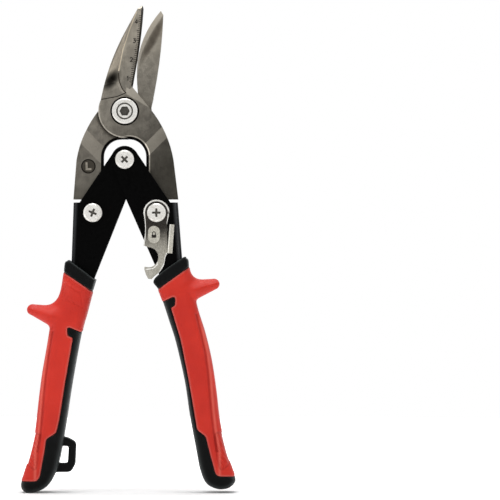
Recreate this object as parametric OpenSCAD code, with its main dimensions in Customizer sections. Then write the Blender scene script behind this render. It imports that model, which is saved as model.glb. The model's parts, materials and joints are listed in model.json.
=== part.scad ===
// Left-cut compound-action aviation snips, 254 mm (10 in) long.
// X runs across the tool, Y through its thickness (front face at -Y), Z up towards the blade tips.
// The four pivots form a kite: main pivot, centre pivot, left pin and right pin.

/* [Linkage] */
// Half the distance between the left and the right pin
pin_half_gap = 16.6; // [16.4:0.1:16.8]
// Depth of both handle pins below the main pivot
pin_drop = 52.95; // [52.5:0.05:53.5]
// Depth of the centre pivot below the main pivot
centre_drop = 25.2; // [25:0.1:25.4]

/* [Jaws] */
// Thickness of each jaw at the main pivot
jaw_t = 5.6; // [5.2:0.1:6]
// Thickness of the blades at their ridge
blade_t = 4.2; // [3.6:0.1:4.6]
// Thickness of the tails inside the arms
tail_t = 5.6; // [5.2:0.1:5.6]
// Radius of the round boss of each jaw
boss_r = 13.8; // [13.4:0.1:14]

/* [Arms] */
// Thickness of the pressed steel sheet
sheet_t = 1.8; // [1.6:0.1:1.8]
// Running gap between neighbouring layers
layer_gap = 0.15; // [0.12:0.01:0.18]
// Radius of the arms' noses at the centre pivot
nose_r = 7.1; // [6.8:0.1:7.2]

/* [Fasteners] */
// Diameter of the main bolt's shank
bolt_d = 8; // [7.5:0.1:8.5]
// Diameter of the shanks of the three smaller screws
screw_d = 6; // [5.6:0.1:6.2]
// Radius of the smaller screw heads
screw_head_r = 4.9; // [4.8:0.05:5]
// Height of the smaller screw heads
screw_head_h = 2.55; // [2.3:0.05:2.6]
// Running clearance between a shank and its bore, on the diameter
run_play = 0.1; // [0.06:0.01:0.12]
// Clearance on the diameter of the left pin, where the linkage is left open
open_play = 0.19; // [0.17:0.01:0.2]

/* [Grips] */
// Half the thickness of the grips
grip_half = 10.5; // [10:0.1:11]
// Radius that rounds the edges of the grips
grip_edge = 4; // [3.6:0.1:4.2]

/* [Latch] */
// Thickness of the latch plate
latch_t = 1.8; // [1.6:0.1:1.8]
// Radius of the latch plate's eye
latch_eye_r = 6.75; // [6.6:0.05:6.9]

/* [Hidden] */
$fn = 48;

// The tool's frame: the main pivot's place above the middle of the bounding box's floor
pivot_place = [-1.73, -0.4, 198.943];

// Pivots as [x, z] in the pivot frame, where the main pivot is the origin
main_pivot = [0, 0];
centre_pivot = [0, -centre_drop];
left_pin = [-pin_half_gap, -pin_drop];
right_pin = [pin_half_gap, -pin_drop];

// Half widths of the nested layers, from the middle plane outwards
tail_half = tail_t / 2;
inner_low = tail_half + layer_gap;
inner_high = inner_low + sheet_t;
outer_low = inner_high + layer_gap;
outer_high = outer_low + sheet_t;
shear_gap = 0.05;
washer_t = 0.3;
latch_back = -outer_high - washer_t;
latch_front = latch_back - latch_t;
head_back = latch_front - shear_gap;
big = 120;
LEFT = -1;
RIGHT = 1;

// ---------- drawing helpers: outlines lie in XZ and are extruded along Y ----------

// Extrudes an outline from the depth y_front to the depth y_back
module plate(y_front, y_back) {
    translate([0, y_back, 0]) rotate([90, 0, 0]) linear_extrude(y_back - y_front) children();
}

// Moves a piece from the pivot frame into the tool's frame
module placed() {
    translate(pivot_place) children();
}

// A straight round bar along Y at the [x, z] place
module rod(d, y_front, y_back, at = [0, 0], sides = $fn) {
    translate([at[0], y_back, at[1]]) rotate([90, 0, 0]) cylinder(d = d, h = y_back - y_front, $fn = sides);
}

module ring(d_out, d_in, y_front, y_back, at) {
    difference() {
        rod(d_out, y_front, y_back, at);
        rod(d_in, y_front - 1, y_back + 1, at);
    }
}

// A hexagonal lock nut with a plain round collar on its far side
module lock_nut(across, height, bore, y_front, at) {
    collar_h = height * 0.25;
    difference() {
        union() {
            rod(across / cos(30), y_front, y_front + height - collar_h, at, 6);
            rod(across * 0.86, y_front, y_front + height, at);
        }
        rod(bore, y_front - 1, y_front + height + 1, at);
    }
}

// Points from p towards q along a shallow curve that rises to the left of that direction; q is left out
function bow(p, q, rise, steps = 8) =
    let (along = q - p, side = [-along[1], along[0]] / norm(along))
    [for (i = [0 : steps - 1]) let (t = i / steps) p + along * t + side * 4 * rise * t * (1 - t)];

// Cubic through b and c, with a and d as neighbours
function between(a, b, c, d, t) =
    0.5 * (2 * b + (c - a) * t + (2 * a - 5 * b + 4 * c - d) * t * t + (3 * b - a - 3 * c + d) * t * t * t);

// A smooth closed curve through all the points
function smooth(points, steps = 3) =
    let (n = len(points))
    [for (i = [0 : n - 1]) for (s = [0 : steps - 1])
        between(points[(i + n - 1) % n], points[i], points[(i + 1) % n], points[(i + 2) % n], s / steps)];

// Points given for the right-hand side, mirrored and put back in order for the left
function sided(points, side) =
    let (last = len(points) - 1)
    [for (i = [0 : last]) side == RIGHT ? points[i] : [-points[last - i][0], points[last - i][1]]];

// ---------- jaws ----------

shoulder_z = -46;
blade_root = [13.4, 1.1];
tail_knee = [25.3, -25.5];
front_corner = [27.8, shoulder_z];
back_corner = [26.9, shoulder_z];
tongue_r = 6.6;
arch_half = 11.1;
arch_top = 10.6;
arch_corner_r = 9;
arch_rim = 1.3;
front_tip = [9.2, 55.2];
front_heel = [3.8, 12.8];
back_tip = [19.9, 50.6];
back_heel = [6.3, 14];
back_throat = [6.9, 8.2];
bolt_head_r = 6.65;
sink_r = 7.4;
sink_depth = 1.2;

// The arch over the centre pivot, with rounded upper corners and straight sides, made larger by grow
module arch(grow = 0) {
    side = arch_half - arch_corner_r;
    straight = 6;
    translate(centre_pivot) offset(r = arch_corner_r + grow)
        translate([-side, -straight]) square([2 * side, straight + arch_top - arch_corner_r]);
}

// Right-hand tail: boss, shoulder down to the corner, and the tongue that reaches down to the right pin
module tail_outline(corner) {
    difference() {
        union() {
            circle(boss_r);
            polygon(concat(
                bow(blade_root, tail_knee, 1.9, 8),
                [tail_knee, corner, [22.8, shoulder_z], [right_pin[0] + tongue_r, right_pin[1]],
                 [right_pin[0] - tongue_r, right_pin[1]], [11.3, -30], [-1, -16], [-8, 0]]));
            translate(right_pin) circle(tongue_r);
        }
        arch();
    }
}

// Chamfer round the front edge of the arch
module arch_chamfer() {
    hull() {
        plate(-tail_half + arch_rim - 0.01, -tail_half + arch_rim) arch();
        plate(-tail_half - 0.01, -tail_half) arch(arch_rim);
    }
    plate(-jaw_t - 1, -tail_half) difference() {
        arch(arch_rim);
        circle(boss_r);
    }
}

// Metal to take away on one face, up to a sloped step that runs at 45 degrees across the tail.
// The face lies at level_1 up to the distance start from the main pivot, and at level_2 from end on.
module sloped_face(start, end, level_1, level_2, outward) {
    far = outward * big / 2;
    rotate([0, 45, 0]) translate([0, 0, -big]) linear_extrude(2 * big)
        polygon([[-big, level_1], [start, level_1], [end, level_2], [big, level_2], [big, far], [-big, far]]);
}

module front_blade_outline() {
    polygon(concat(
        bow([front_tip[0] + 0.5, front_tip[1] - 1.7], front_heel, 0.8, 6),
        [front_heel, [3, 4], [-boss_r, 0.7]],
        bow([-13.6, 0.7], [8.1, 54.7], 3.4, 12),
        [[8.1, 54.7], front_tip]));
}

// The flat face between the ridge and the cutting edge, slightly inside the blade's outline
module front_blade_face() {
    inset = 0.8;
    polygon(concat(
        bow([9 - inset / 2, 53.6], [front_heel[0] - inset, 12], 0.8, 6),
        [[front_heel[0] - inset, 12], [1, 9], [-1.4, 11.6], [-2.8, 15.8], [-3.4, 20.3], [-2.8, 26],
         [-0.9, 33.2], [1.6, 44], [6.6, 53.4]]));
}

// The straight edge of the front boss, from the blade's heel down to the shoulder
module beyond_edge() {
    polygon([front_heel, front_heel + [0, 20], blade_root + [20, 20], blade_root + [20, 0], blade_root]);
}

module front_jaw_mass() {
    rim_t = 1.9;
    pad_t = 3.9;
    chamfer_turn = -59;
    chamfer_slope = 24;
    chamfer_w = 12;
    // tail and boss, with a chamfer that widens towards the blade
    difference() {
        plate(-jaw_t, tail_half) difference() {
            tail_outline(front_corner);
            beyond_edge();
        }
        sloped_face(21, 28.2, -shear_gap, tail_half, 1);
        sloped_face(19.5, 25.2, -jaw_t, -tail_half, -1);
        plate(-jaw_t - 1, -pad_t) polygon([[-20, 6.1], [-12.3, 6.1], [-4, 7.6], [0.4, 9.4], [3, 30], [-20, 30]]);
        translate([0.5, 0, 9.1]) rotate([0, chamfer_turn, 0]) translate([0, 0, -30]) linear_extrude(60)
            polygon([[0, -jaw_t], [chamfer_w, -jaw_t + chamfer_w * tan(chamfer_slope)],
                     [chamfer_w, -jaw_t - 5], [0, -jaw_t - 5]]);
    }
    // blade: a thin rim along the back edge and a ridged face in front of it
    plate(-rim_t, -shear_gap) front_blade_outline();
    hull() {
        plate(-blade_t, -blade_t + 0.1) front_blade_face();
        plate(-rim_t, -rim_t + 0.1) intersection() {
            front_blade_outline();
            translate([-20, 9]) square([60, 60]);
        }
    }
    // pad between the hub line and the hollow above it
    hull() {
        plate(-pad_t, -pad_t + 0.1) polygon([[-12.4, 5.8], [-10.8, 13.6], [-5, 15.2], [-1.6, 12.4], [0.4, 9.2]]);
        plate(-rim_t, -rim_t + 0.1) polygon([[-12.6, 5.6], [-8.9, 19.6], [-3.6, 21.6], [0.6, 9]]);
    }
}

module front_jaw() {
    color([0.47, 0.44, 0.41]) placed() difference() {
        front_jaw_mass();
        arch_chamfer();
        rod(bolt_d + 0.06, -big, big);
        rod(2 * sink_r, -jaw_t - 1, -jaw_t + sink_depth);
        rod(screw_d + run_play, -big, big, right_pin);
    }
}

module back_blade_outline(tip, heel, rise) {
    polygon(concat(
        bow(tip, heel, rise, 10),
        [heel, back_throat, [8, -8]],
        bow(blade_root, back_tip, -1.2, 6),
        [back_tip]));
}

module back_jaw_mass() {
    mark_r = 3.8;
    mark_at = [-19.1, -28.7];
    cut = 0.35;
    difference() {
        mirror([1, 0, 0]) difference() {
            plate(-tail_half, jaw_t) difference() {
                tail_outline(back_corner);
                polygon([[-back_throat[0], back_throat[1]], [4, 12.9], [4, 30], [-40, 30], [-40, back_throat[1]]]);
            }
            sloped_face(21, 28.2, shear_gap, -tail_half, -1);
            sloped_face(19.5, 25.2, jaw_t, tail_half, 1);
        }
        // direction mark: a sunk disc with a raised L in it
        difference() {
            rod(2 * mark_r, -tail_half - 1, -tail_half + cut, mark_at);
            plate(-tail_half - 1, tail_half) translate(mark_at) union() {
                translate([-1.4, -2]) square([1, 4]);
                translate([-1.4, -2]) square([3, 1]);
            }
        }
    }
    // the blade's side face leans out behind the cutting edge
    hull() {
        plate(shear_gap, shear_gap + 0.1) back_blade_outline([19.8, 49.2], back_heel, -3.6);
        plate(3.2, 3.4) back_blade_outline([18.6, 52.8], back_heel, -4.4);
    }
    hull() {
        plate(3.2, 3.4) back_blade_outline([18.6, 52.8], back_heel, -4.4);
        plate(blade_t + 0.3, blade_t + 0.4) back_blade_outline([18.6, 49], [8, 13], -3.4);
    }
    // web that joins the blade to the boss
    plate(shear_gap, jaw_t)
        polygon([back_heel, [9, 14.6], [14.8, 7], blade_root, [10, -8], [-8, -8], [-8, 5], [5.6, 6.2], back_throat]);
}

module back_jaw() {
    color([0.45, 0.43, 0.4]) placed() difference() {
        back_jaw_mass();
        arch_chamfer();
        rod(bolt_d + run_play, -big, big);
        rod(screw_d + open_play, -big, big, left_pin);
    }
}

// ---------- main pivot ----------

pivot_washer_t = 1.2;
pivot_nut_h = 6;

module pivot_bolt() {
    head_front = -jaw_t - 1.9;
    seat = -jaw_t + sink_depth;
    color([0.84, 0.84, 0.82]) placed() difference() {
        union() {
            rod(2 * bolt_head_r, head_front + 0.6, seat);
            translate([0, head_front + 0.6, 0]) rotate([90, 0, 0])
                cylinder(r1 = bolt_head_r, r2 = bolt_head_r - 0.6, h = 0.6);
            rod(bolt_d, seat - 0.1, jaw_t + pivot_washer_t + pivot_nut_h + 0.6);
        }
        ring(8.8, 7.2, head_front - 1, head_front + 0.5, main_pivot);
        rod(4.7 / cos(30), head_front - 1, head_front + 2.4, main_pivot, 6);
    }
}

module pivot_washer() {
    color([0.7, 0.7, 0.68]) placed() ring(16, bolt_d + 0.06, jaw_t, jaw_t + pivot_washer_t, main_pivot);
}

module pivot_nut() {
    color([0.84, 0.84, 0.82]) placed() lock_nut(13, pivot_nut_h, bolt_d, jaw_t + pivot_washer_t, main_pivot);
}

// ---------- arms ----------

web_top_z = -47.6;
bend_r = 3;
// Puts the bend's round just outside the flat faces, so that it meets them along a clear edge
bend_shift = 0.03;
tang_end_z = -140;
right_foot = [29.9, -78.7];
right_tang = [43.2, tang_end_z];
left_foot = [27.9, -79];
left_tang = [40.6, tang_end_z];
right_web = [27.5, web_top_z];
left_web = [26.8, web_top_z];

// Inner edge of an arm, from behind the crotch down to the collar
function inner_edge(side) = side == RIGHT ? [[-0.5, -43.2], [18.7, -87]] : [[-1.5, -43], [16, -87]];

// One arm: nose at the centre pivot, outer web, and a tapering tang inside the grip.
// foot is the web's corner at the collar, tang the outer corner of the tang's end.
module arm_outline(side, web_top, foot, tang) {
    translate(centre_pivot) circle(nose_r);
    polygon(sided([
        [-6.6, -27.6], inner_edge(side)[0], inner_edge(side)[1], [29, -122], tang + [-9, 2],
        tang, [38.6, -125], foot, web_top, [23.6, web_top_z], [5.4, -20.6]], side));
}

// Everything inside the web, so that what is left of the arm is an open channel
module arm_hollow(side, web_top, foot, tang) {
    in = [-sheet_t, 0];
    polygon(sided([
        [-30, 0], [-30, -big - 60], tang + in - [2, 40], tang + in, [38.6, -125] + in, foot + in,
        web_top + in, web_top + in + [0, 1], web_top + [2, 1], web_top + [2, 40], [-30, 40]], side));
}

// Rounds the two long edges where the sheet is bent, along the web from its top to below the foot
module bend_corners(side, high, web_top, foot) {
    run = foot - web_top;
    for (face = [-1, 1])
        translate([side * web_top[0], 0, web_top[1]]) rotate([0, side * atan2(run[0], run[1]), 0])
            translate([0, 0, -1]) linear_extrude(norm(run) + 8) difference() {
                translate([side * (0.5 - bend_r / 2), face * (high + 0.5 - bend_r / 2)])
                    square(bend_r + 1, center = true);
                translate([side * (bend_shift - bend_r), face * (high + bend_shift - bend_r)]) circle(bend_r);
            }
}

module arm(side, low, high, web_top, foot, tang) {
    pin = side == LEFT ? left_pin : right_pin;
    difference() {
        plate(-high, high) arm_outline(side, web_top, foot, tang);
        plate(-low, low) arm_hollow(side, web_top, foot, tang);
        bend_corners(side, high, web_top, foot);
        rod(screw_d + (side == LEFT ? run_play : 0.04), -big, big, centre_pivot);
        rod(screw_d + 0.04, -big, big, pin);
    }
}

module right_arm() {
    color([0.05, 0.05, 0.055]) placed()
        arm(RIGHT, outer_low, outer_high, right_web, right_foot, right_tang);
}

module left_arm() {
    color([0.05, 0.05, 0.055]) placed()
        arm(LEFT, inner_low, inner_high, left_web, left_foot, left_tang);
}

// ---------- small screws and what is on them ----------

// Round head with a bevelled rim and a cross recess turned by turn degrees
module cross_head(y_under, at, turn) {
    bevel = 0.8;
    wing = 4.4;
    slot = 1.1;
    recess = 1.5;
    translate([at[0], y_under, at[1]]) rotate([90, 0, 0]) difference() {
        union() {
            cylinder(r = screw_head_r, h = screw_head_h - bevel);
            translate([0, 0, screw_head_h - bevel])
                cylinder(r1 = screw_head_r, r2 = screw_head_r - bevel, h = bevel);
        }
        for (a = [turn, turn + 90])
            rotate(a) translate([-wing / 2, -slot / 2, screw_head_h - recess]) cube([wing, slot, recess + 1]);
    }
}

module cross_screw(y_under, y_end, at, turn) {
    color([0.85, 0.85, 0.82]) placed() {
        cross_head(y_under, at, turn);
        rod(screw_d, y_under - 0.1, y_end, at);
    }
}

small_nut_h = 4.6;

module small_nut(y_front, at) {
    color([0.8, 0.8, 0.78]) placed() lock_nut(9.6, small_nut_h, screw_d, y_front, at);
}

module centre_screw() {
    cross_screw(-outer_high, outer_high + small_nut_h + 0.5, centre_pivot, 45);
}

module centre_nut() {
    small_nut(outer_high, centre_pivot);
}

sleeve_d = 7.4;

module centre_sleeve() {
    color([0.6, 0.6, 0.58]) placed()
        ring(sleeve_d, screw_d + 0.04, -inner_low + layer_gap / 2, inner_low - layer_gap / 2, centre_pivot);
}

module left_pin_screw() {
    cross_screw(-outer_high, inner_high + small_nut_h + 0.5, left_pin, -22);
}

module left_pin_collar() {
    color([0.7, 0.7, 0.68]) placed() ring(9.2, screw_d + 0.04, -outer_high, -inner_high, left_pin);
}

module left_pin_nut() {
    small_nut(inner_high, left_pin);
}

module right_pin_screw() {
    cross_screw(head_back, outer_high + small_nut_h + 0.5, right_pin, 0);
}

module right_pin_spacers() {
    color([0.6, 0.6, 0.58]) placed() for (front = [-outer_low, tail_half + shear_gap])
        ring(11, screw_d + 0.04, front, front + outer_low - tail_half - shear_gap, right_pin);
}

module right_pin_nut() {
    small_nut(outer_high, right_pin);
}

// ---------- return spring ----------

wire_d = 1.8;
coil_r = sleeve_d / 2 + wire_d / 2 + 0.15;
coil_half = 1.9;
leg_length = 25.4;
leg_turn = -30.9;
coil_turn = 360 + 180 - 2 * leg_turn;

// The wire's middle line: left leg at the front, coil round the sleeve, right leg at the back
function coil_point(turn, depth) =
    [centre_pivot[0] + coil_r * cos(turn), depth, centre_pivot[1] + coil_r * sin(turn)];
function leg_direction(turn) = [sin(turn), 0, -cos(turn)];
spring_path = concat(
    [for (i = [4 : -1 : 1])
        coil_point(leg_turn, -coil_half) + leg_direction(leg_turn) * leg_length * i / 4],
    [for (i = [0 : 40]) let (t = i / 40)
        coil_point(leg_turn + coil_turn * t, coil_half * (2 * t - 1))],
    [for (i = [1 : 4])
        coil_point(leg_turn + coil_turn, coil_half) - leg_direction(leg_turn + coil_turn) * leg_length * i / 4]);

// A round wire swept along a path whose loops lie across Y
module wire(path, d, sides = 8) {
    n = len(path);
    points = [for (i = [0 : n - 1])
        let (ahead = path[min(i + 1, n - 1)] - path[max(i - 1, 0)],
             along = ahead / norm(ahead),
             across = cross(along, [0, 1, 0]),
             u = across / norm(across),
             v = cross(u, along))
        for (k = [0 : sides - 1]) let (a = 360 * k / sides) path[i] + d / 2 * (u * cos(a) + v * sin(a))];
    walls = [for (i = [0 : n - 2]) for (k = [0 : sides - 1])
        let (next = (k + 1) % sides)
        [i * sides + k, i * sides + next, (i + 1) * sides + next, (i + 1) * sides + k]];
    first = [for (k = [sides - 1 : -1 : 0]) k];
    last = [for (k = [0 : sides - 1]) (n - 1) * sides + k];
    polyhedron(points, concat([first], walls, [last]), convexity = 6);
}

module return_spring() {
    color([0.35, 0.35, 0.36]) placed() wire(spring_path, wire_d);
}

// ---------- latch ----------

notch_at = [-4.2, -23.2];
notch_r = 5.2;
lift = 0.6;
tab_bend = [5.5, -6];
tab_height = 15;
tab_tilt = -4;
bend_in = 1;
lip = 2.8;

// Outline relative to the right pin, hook notch not yet cut
module latch_outline() {
    circle(latch_eye_r);
    polygon(concat(
        [[-latch_eye_r, 0]],
        bow([-6.7, -0.6], [-6.8, -16.8], 0.9, 6),
        [[-6.8, -16.8], [-6.5, -18.1], [-4, -19], [0, -24], [-6.2, -27.6], [-6.3, -29.7], [-5.4, -32.4]],
        [[-4.3, -34.4], [-2.5, -34.6]],
        bow([-1.2, -33.2], [4.6, -25.4], -0.9, 5),
        [[4.6, -23.4], [5.5, -21.2], [5.5, -5.8], [6.1, -2.8]]));
}

// The way of the left pin's head into the hook
module latch_notch() {
    reach = norm(notch_at);
    rest_turn = atan2(notch_at[1], notch_at[0]);
    translate(notch_at) circle(notch_r);
    intersection() {
        difference() {
            circle(reach + notch_r);
            circle(reach - notch_r);
        }
        polygon([[0, 0], big * [cos(rest_turn), sin(rest_turn)], big * [cos(rest_turn - 45), sin(rest_turn - 45)]]);
    }
}

// Lip for the thumb: the plate's right edge rolled forwards
module thumb_tab() {
    bend_out = bend_in + latch_t;
    translate([right_pin[0] + tab_bend[0], latch_front - bend_in, right_pin[1] + tab_bend[1] - tab_height])
        rotate([0, -tab_tilt, 0]) {
            intersection() {
                difference() {
                    cylinder(r = bend_out, h = tab_height);
                    translate([0, 0, -1]) cylinder(r = bend_in, h = tab_height + 2);
                }
                translate([-0.01, 0, 0]) cube([bend_out + 1, bend_out + 1, tab_height]);
            }
            translate([bend_in, -lip, 0]) cube([latch_t, lip + 0.01, tab_height]);
        }
}

module latch() {
    color([0.72, 0.71, 0.66]) placed() difference() {
        union() {
            plate(latch_front, latch_back) translate(right_pin) difference() {
                latch_outline();
                latch_notch();
            }
            thumb_tab();
            // oval boss pressed out of the plate
            plate(latch_front - lift, latch_front + 0.1) translate(right_pin + [-1.3, -11.4]) {
                translate([0, 1.4]) circle(3.1);
                translate([0, -1.4]) circle(3.1);
                translate([-3.1, -1.4]) square([6.2, 2.8]);
            }
        }
        rod(screw_d + run_play, -big, big, right_pin);
    }
}

module latch_washer() {
    color([0.6, 0.6, 0.58]) placed() ring(11.6, screw_d + 0.04, latch_back, -outer_high, right_pin);
}

// ---------- grips ----------

left_grip_points = [
    [-29.8, -78.1], [-31.1, -79.2], [-31.8, -85], [-33.5, -94], [-36.4, -101.5], [-38.2, -108],
    [-39, -114], [-40.7, -124.4], [-42.8, -136.5], [-44.5, -149.5], [-46.5, -166.8], [-48.7, -177.2],
    [-52.3, -188.5], [-54.1, -195.2], [-51.4, -198.8], [-46, -198.4], [-40.6, -195.6], [-36.9, -190],
    [-34.9, -182.4], [-31.4, -166.8], [-27.4, -140.8], [-22.8, -115.7], [-20, -105.3], [-17, -93.8],
    [-15.4, -88.2], [-16, -87.5], [-28, -78.4]];

right_grip_points = [
    [15.6, -87.2], [17.4, -92.8], [20, -99.6], [23, -108.8], [26.8, -120.9], [31.3, -140.8],
    [33.9, -158.1], [37.1, -175.5], [39.5, -187.4], [42.8, -194.2], [48.6, -197], [54, -196.4],
    [57.4, -193.4], [57.1, -190], [53, -178.1], [49.5, -162.5], [47.4, -145.2], [45, -129.6],
    [41.7, -115.7], [38.2, -104.6], [36.4, -97], [34.8, -88.6], [33.4, -81.5], [33, -77.8], [32, -76.7],
    [29.8, -76.6]];

// Hand guards as [root, tip], both [x, z, radius]
left_guard = [[-38, -106.6, 5], [-48.3, -103.5, 2.6]];
right_guard = [[36.4, -93, 4.9], [46.5, -90.2, 2.6]];

// Where the soft cover shows: a region that runs past the grip's outer side and ends on the core's seam
left_cover_seam = [
    [-70, -57], [-31.9, -83.6], [-17, -93.8], [-10, -98.6], [-10, -121], [-29.5, -112.4],
    [-29.5, -116.6], [-26.9, -117.8], [-30.7, -140.8], [-33.8, -160.7], [-35.5, -167.6], [-40.2, -171.2],
    [-41.1, -177.2], [-43.8, -190], [-45.3, -192.6], [-52.4, -192.9], [-70, -193]];

right_cover_seam = [
    [60, -62.4], [33.2, -81.4], [17.9, -92.4], [8, -99.5], [8, -105.5], [26.2, -96.6],
    [26.2, -101.2], [24, -102.4], [29.1, -119.2], [33.4, -140.8], [37.7, -166], [42.1, -169.4],
    [44.7, -179.8], [47.3, -189.3], [49, -191.1], [56.8, -190.4], [70, -190.4]];

// Body of a grip with rounded edges, and its guard
module grip_mass(points, guard) {
    minkowski() {
        plate(-grip_half + grip_edge, grip_half - grip_edge) offset(delta = -grip_edge) polygon(smooth(points));
        sphere(r = grip_edge, $fn = 16);
    }
    hull() for (g = guard)
        rod(2 * g[2], -grip_half * 0.8 * sqrt(g[2] / 5.4), grip_half * 0.8 * sqrt(g[2] / 5.4), [g[0], g[1]], 24);
}

// The tongue of hard core that carries the cover, round the arm's tang
module core_tongue(side, foot, tang) {
    polygon(sided([
        [18.6, -89], [33, -126], tang + [-10, -3], tang + [1, -3], [40, -126], foot + [1.3, -1.3]], side));
}

// The space that the arm's tang fills inside the core
module tang_space(side, web_top, foot, tang, high) {
    plate(-high, high) arm_outline(side, web_top, foot, tang);
}

tongue_half = outer_high + 1;

// Hard core: the whole grip but for the cover, with a tongue inside the cover
module grip_core(points, guard, seam, side, foot, tang) {
    difference() {
        grip_mass(points, guard);
        difference() {
            plate(-big, big) polygon(seam);
            plate(-tongue_half, tongue_half) core_tongue(side, foot, tang);
        }
    }
}

module right_grip_core() {
    color([0.09, 0.09, 0.1]) placed() difference() {
        grip_core(right_grip_points, right_guard, right_cover_seam, RIGHT, right_foot, right_tang);
        tang_space(RIGHT, right_web, right_foot, right_tang, outer_high);
    }
}

module right_grip_cover() {
    color([0.85, 0.22, 0.16]) placed() difference() {
        intersection() {
            grip_mass(right_grip_points, right_guard);
            plate(-big, big) polygon(right_cover_seam);
        }
        plate(-tongue_half, tongue_half) core_tongue(RIGHT, right_foot, right_tang);
        tang_space(RIGHT, right_web, right_foot, right_tang, outer_high);
    }
}

// Loop for a lanyard on the inner side of the left grip
loop_half = 2.6;

module lanyard_loop() {
    plate(-loop_half, loop_half) difference() {
        polygon([[-34, -169], [-28.6, -170.4], [-26.2, -172.4], [-25.4, -175], [-26.4, -184.4], [-27.6, -186.8],
                 [-29.8, -187.8], [-37, -188], [-38, -170]]);
        polygon([[-33.4, -174], [-29.4, -174.8], [-28.4, -176.2], [-29.1, -183.2], [-29.9, -184.2], [-35.4, -184.4]]);
    }
}

module left_grip_core() {
    color([0.09, 0.09, 0.1]) placed() {
        difference() {
            grip_core(left_grip_points, left_guard, left_cover_seam, LEFT, left_foot, left_tang);
            tang_space(LEFT, left_web, left_foot, left_tang, inner_high);
        }
        lanyard_loop();
    }
}

module left_grip_cover() {
    color([0.85, 0.22, 0.16]) placed() difference() {
        intersection() {
            grip_mass(left_grip_points, left_guard);
            plate(-big, big) polygon(left_cover_seam);
        }
        plate(-tongue_half, tongue_half) core_tongue(LEFT, left_foot, left_tang);
        tang_space(LEFT, left_web, left_foot, left_tang, inner_high);
    }
}

// ---------- the nodes ----------

front_jaw();
back_jaw();
pivot_bolt();
pivot_washer();
pivot_nut();
right_arm();
left_arm();
centre_screw();
centre_sleeve();
centre_nut();
return_spring();
left_pin_screw();
left_pin_collar();
left_pin_nut();
right_pin_screw();
right_pin_spacers();
right_pin_nut();
latch();
latch_washer();
right_grip_core();
right_grip_cover();
left_grip_core();
left_grip_cover();
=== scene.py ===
import json
import math

import bmesh
import bpy
import numpy as np
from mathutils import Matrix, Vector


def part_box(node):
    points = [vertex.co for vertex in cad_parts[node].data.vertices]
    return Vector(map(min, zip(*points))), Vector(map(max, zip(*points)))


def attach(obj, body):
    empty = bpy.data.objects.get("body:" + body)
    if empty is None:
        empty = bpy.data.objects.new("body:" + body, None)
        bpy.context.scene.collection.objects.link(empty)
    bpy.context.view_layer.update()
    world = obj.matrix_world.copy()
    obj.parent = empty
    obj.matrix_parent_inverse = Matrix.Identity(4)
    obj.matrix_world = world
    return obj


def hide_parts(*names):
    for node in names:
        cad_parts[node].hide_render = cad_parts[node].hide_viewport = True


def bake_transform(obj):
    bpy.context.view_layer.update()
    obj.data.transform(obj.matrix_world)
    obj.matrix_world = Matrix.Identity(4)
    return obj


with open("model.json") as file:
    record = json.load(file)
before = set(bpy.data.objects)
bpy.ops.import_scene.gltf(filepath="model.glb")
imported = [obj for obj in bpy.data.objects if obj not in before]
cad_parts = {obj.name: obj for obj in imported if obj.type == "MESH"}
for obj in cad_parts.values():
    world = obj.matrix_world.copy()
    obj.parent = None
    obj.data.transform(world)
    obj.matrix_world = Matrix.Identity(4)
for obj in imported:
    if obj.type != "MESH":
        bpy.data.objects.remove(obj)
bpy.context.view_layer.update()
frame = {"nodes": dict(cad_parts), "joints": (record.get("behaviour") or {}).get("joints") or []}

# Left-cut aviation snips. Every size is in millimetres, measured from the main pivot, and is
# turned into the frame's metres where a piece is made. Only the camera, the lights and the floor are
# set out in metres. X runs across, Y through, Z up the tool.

import openvdb
from mathutils import Vector

MM = 0.001
JOINTS = {joint["name"]: joint for joint in frame["joints"]}
PIVOT = Vector(JOINTS["back_jaw_pivot"]["pos_m"])
CENTRE_PIN = Vector(JOINTS["squeeze"]["pos_m"])
RIGHT_PIN = Vector(JOINTS["latch_swing"]["pos_m"])
LEFT_PIN = Vector((2 * CENTRE_PIN.x - RIGHT_PIN.x, RIGHT_PIN.y, RIGHT_PIN.z))


def place(x, y, z):
    """The frame's point for a place in millimetres from the main pivot."""
    return PIVOT + Vector((x, y, z)) * MM


def scene_object(name, data):
    """A new object in the scene that shows a mesh, a light or a camera."""
    made = bpy.data.objects.new(name, data)
    bpy.context.scene.collection.objects.link(made)
    return made


def shade(mesh, smooth):
    """Shades all faces of a mesh smoothly, or all of them flat."""
    for polygon in mesh.polygons:
        polygon.use_smooth = smooth


# ---------- node helpers for the materials ----------


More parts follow.
